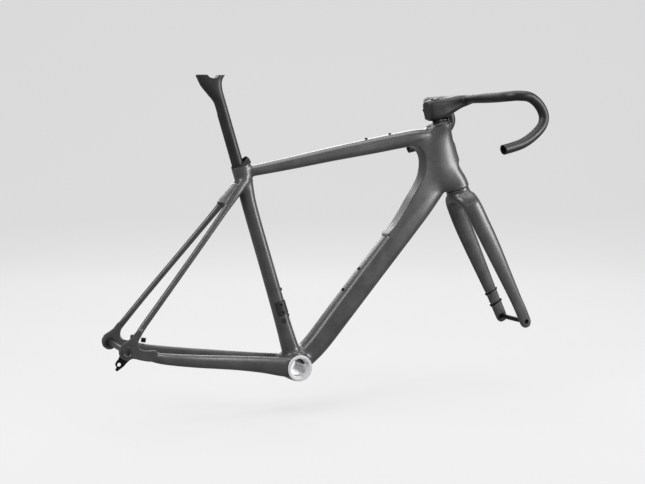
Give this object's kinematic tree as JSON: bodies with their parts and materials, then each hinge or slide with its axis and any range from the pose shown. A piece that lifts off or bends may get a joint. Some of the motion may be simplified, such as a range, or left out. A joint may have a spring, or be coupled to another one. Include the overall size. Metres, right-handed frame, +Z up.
{
  "type": "bicycle frameset",
  "caption": "Carbon gravel bicycle frame with its fork, headset, one-piece drop handlebar and stem, and a seatpost with an open saddle cradle.",
  "frame": {"origin": "centre of the bottom bracket, halfway between its two faces", "axes": "+X forward along the bicycle, +Y to the left (non-drive) side, +Z up with the bicycle standing on level ground"},
  "size_m": [1.0637, 0.4804, 0.7024],
  "materials": {
    "frame_carbon": "satin clear coat over carbon, dark grey with a faint fibre figure",
    "fork_carbon": "satin clear coat over carbon, dark grey with a faint fibre figure",
    "black_composite": "matt black moulded carbon",
    "aluminium": "bare turned metal",
    "black_metal": "black anodised",
    "grey_metal": "dark grey machined metal",
    "steel": "polished",
    "rubber": "matt black"
  },
  "bodies": {
    "frame": {"head_tube": "frame_carbon", "top_tube": "frame_carbon", "down_tube": "frame_carbon", "seat_tube": "frame_carbon", "bottom_bracket_lug": "frame_carbon", "bottom_bracket_shell": "aluminium", "chainstay_left": "frame_carbon", "chainstay_right": "frame_carbon", "seatstay_left": "frame_carbon", "seatstay_right": "frame_carbon", "seatstay_bridge": "frame_carbon", "rear_dropout_left": "frame_carbon", "rear_dropout_right": "frame_carbon", "rear_hub_seat_left": "black_composite", "bottom_bracket_cable_guide": "black_composite", "front_derailleur_cover": "black_composite", "cover_screw_lower": "steel", "cover_screw_upper": "steel", "seat_tube_plug": "rubber", "top_tube_bolt_rear": "black_metal", "top_tube_bolt_front": "black_metal", "down_tube_bolt_lower": "black_metal", "down_tube_bolt_upper": "black_metal", "down_tube_port_screw": "black_metal", "seat_tube_bolt_lower": "black_metal", "seat_tube_bolt_upper": "black_metal", "rear_brake_boss_rear": "black_metal", "rear_brake_boss_front": "black_metal", "seatpost_clamp_wedge": "grey_metal", "seatpost_clamp_bolt": "black_metal", "seatpost_clamp_cover": "rubber", "lower_bearing_outer_race": "steel", "upper_bearing_outer_race": "steel"},
    "steering": {"fork_crown": "fork_carbon", "fork_blade_left": "fork_carbon", "fork_blade_right": "fork_carbon", "steerer_tube": "black_composite", "crown_race": "steel", "lower_bearing_inner_race": "steel", "upper_bearing_inner_race": "steel", "lower_ball_ring": "steel", "upper_ball_ring": "steel", "compression_ring": "aluminium", "headset_cover": "black_composite", "stem": "black_composite", "stem_clamp_bolt_lower": "black_metal", "stem_clamp_bolt_upper": "black_metal", "top_cap": "black_composite", "expander_plug": "grey_metal", "top_cap_bolt": "black_metal", "handlebar_left": "black_composite", "handlebar_right": "black_composite", "front_brake_band_upper": "black_metal", "front_brake_band_lower": "black_metal", "front_hub_seat_left": "black_composite"},
    "seatpost": {"seatpost": "black_composite"},
    "rear_axle": {"rear_thru_axle": "grey_metal"},
    "front_axle": {"front_thru_axle": "black_metal"},
    "hanger": {"derailleur_hanger": "black_metal", "hanger_bolt": "grey_metal"}
  },
  "joints": [
    {"name": "steering", "type": "hinge", "parent": "frame", "child": "steering", "pos_m": [0.439, 0, 0.408], "axis": [-0.314, 0, 0.9494], "range_deg": [-70, 70]},
    {"name": "seatpost_height", "type": "slide", "parent": "frame", "child": "seatpost", "axis": [-0.284, 0, 0.9588], "range_m": [-0.13, 0.05]},
    {"name": "rear_axle_pull", "type": "slide", "parent": "frame", "child": "rear_axle", "axis": [0, 1, 0], "range_m": [0, 0.16]},
    {"name": "front_axle_pull", "type": "slide", "parent": "steering", "child": "front_axle", "axis": [0, 1, 0], "range_m": [0, 0.125]},
    {"name": "hanger_pivot", "type": "hinge", "parent": "frame", "child": "hanger", "pos_m": [-0.41564, -0.073, 0.073], "axis": [0, 1, 0], "range_deg": [0, 25]}
  ]
}
